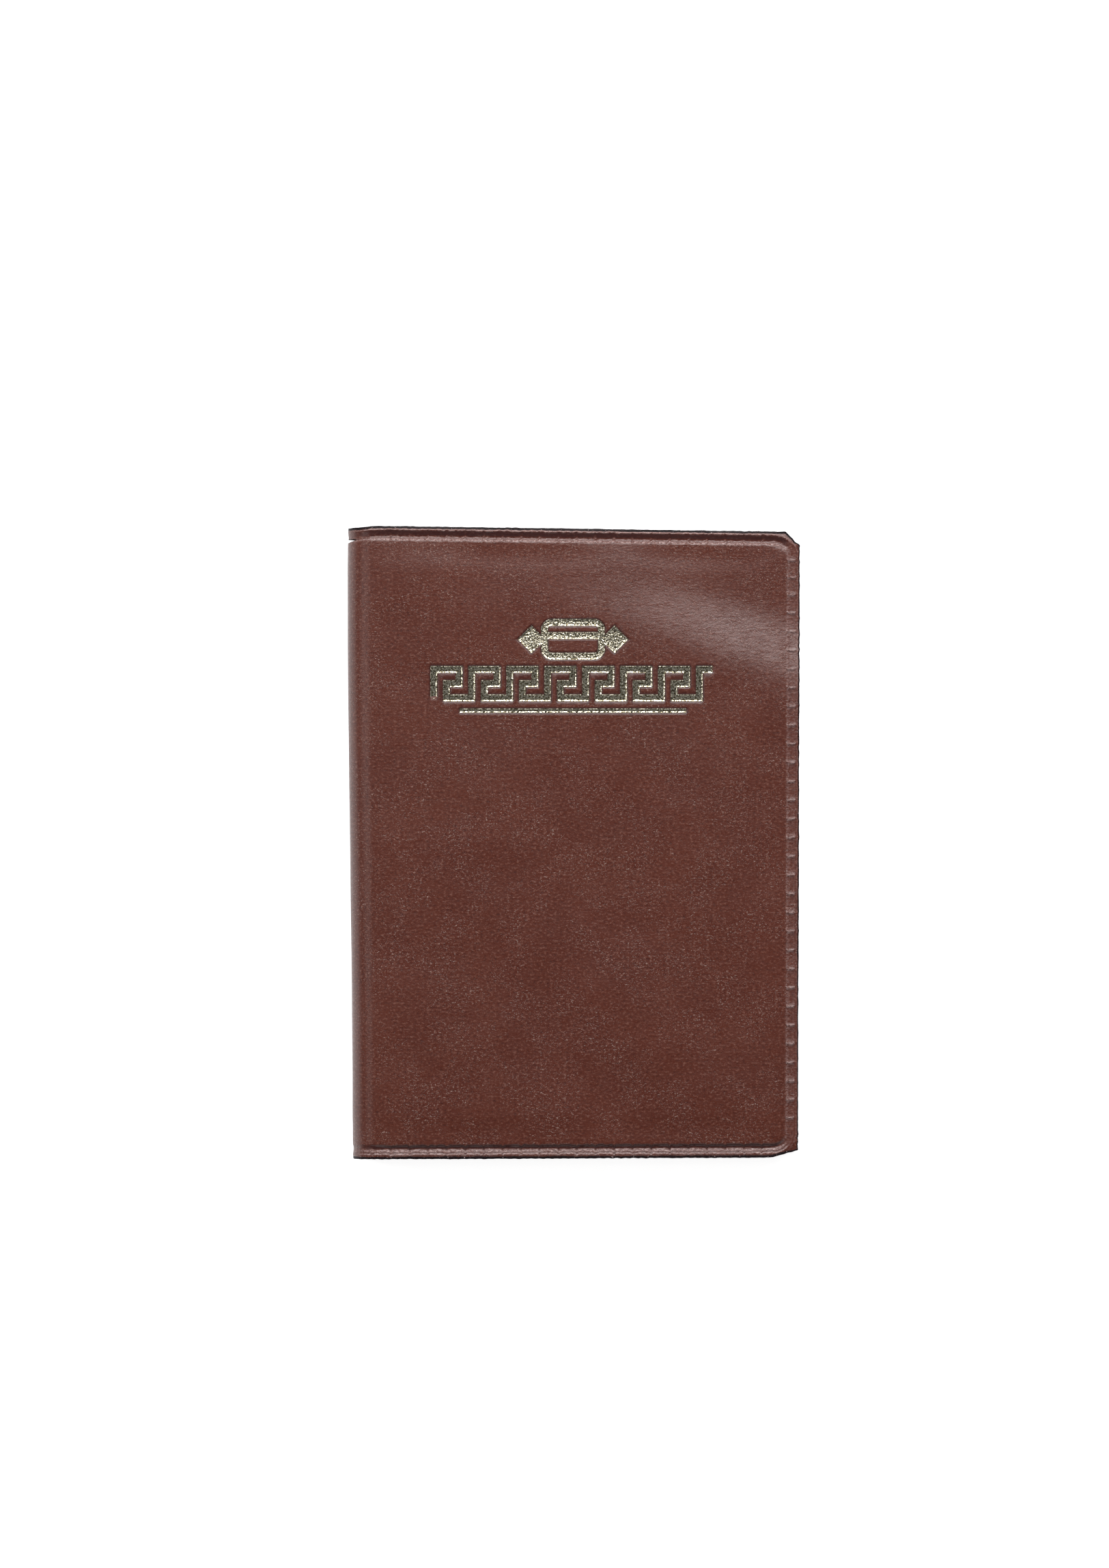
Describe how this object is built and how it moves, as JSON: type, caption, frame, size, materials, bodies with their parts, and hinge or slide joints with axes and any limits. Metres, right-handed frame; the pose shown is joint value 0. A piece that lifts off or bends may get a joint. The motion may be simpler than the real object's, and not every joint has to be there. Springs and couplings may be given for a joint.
{
  "type": "bank card holder",
  "caption": "Bifold card holder in embossed leather-look sheet with a welded, ribbed edge, clear card pockets inside and turning pocket leaves bound at the spine.",
  "frame": {"origin": "middle of the footprint, on the surface that the closed holder lies on", "axes": "+X from the spine to the fore-edge, +Y along the spine to the top edge, +Z from the back cover to the front cover"},
  "size_m": [0.086, 0.12, 0.0102],
  "materials": {
    "leatherette": "satin, fine grain",
    "lining": "satin film",
    "padding": "matte foam",
    "clear_film": "clear gloss",
    "foil": "speckled gold foil"
  },
  "bodies": {
    "back": {"back_cover": "leatherette", "back_padding": "padding", "back_lining": "lining", "back_pocket": "clear_film", "back_seam_bottom": "clear_film", "back_seam_outer": "clear_film", "back_seam_inner": "clear_film"},
    "spine": {"spine_cover": "leatherette", "spine_lining": "lining", "binding_strip": "lining"},
    "front": {"front_cover": "leatherette", "front_padding": "padding", "front_lining": "lining", "front_pocket": "clear_film", "front_seam_bottom": "clear_film", "front_seam_outer": "clear_film", "front_seam_inner": "clear_film", "foil_emblem": "foil", "foil_band": "foil", "foil_rule": "foil"},
    "leaf_1": {"leaf_1_backing": "clear_film", "leaf_1_pocket": "clear_film", "leaf_1_seam_bottom": "clear_film", "leaf_1_seam_outer": "clear_film", "leaf_1_seam_inner": "clear_film"},
    "leaf_2": {"leaf_2_backing": "clear_film", "leaf_2_pocket": "clear_film", "leaf_2_seam_bottom": "clear_film", "leaf_2_seam_outer": "clear_film", "leaf_2_seam_inner": "clear_film"}
  },
  "joints": [
    {"name": "rear_fold", "type": "hinge", "parent": "back", "child": "spine", "pos_m": [-0.04191, 0, 0.00109], "axis": [0, -1, 0], "range_deg": [0, 90]},
    {"name": "front_fold", "type": "hinge", "parent": "spine", "child": "front", "pos_m": [-0.04191, 0, 0.00911], "axis": [0, -1, 0], "range_deg": [0, 90]},
    {"name": "leaf_1_turn", "type": "hinge", "parent": "spine", "child": "leaf_1", "pos_m": [-0.04075, 0, 0.0043], "axis": [0, -1, 0], "range_deg": [-30, 0]},
    {"name": "leaf_2_turn", "type": "hinge", "parent": "spine", "child": "leaf_2", "pos_m": [-0.04075, 0, 0.0059], "axis": [0, -1, 0], "range_deg": [0, 30]}
  ],
  "couplings": [
    {"joint": "front_fold", "follows": "rear_fold", "ratio": 1},
    {"joint": "leaf_1_turn", "follows": "rear_fold", "ratio": -0.33333},
    {"joint": "leaf_2_turn", "follows": "rear_fold", "ratio": 0.33333}
  ]
}
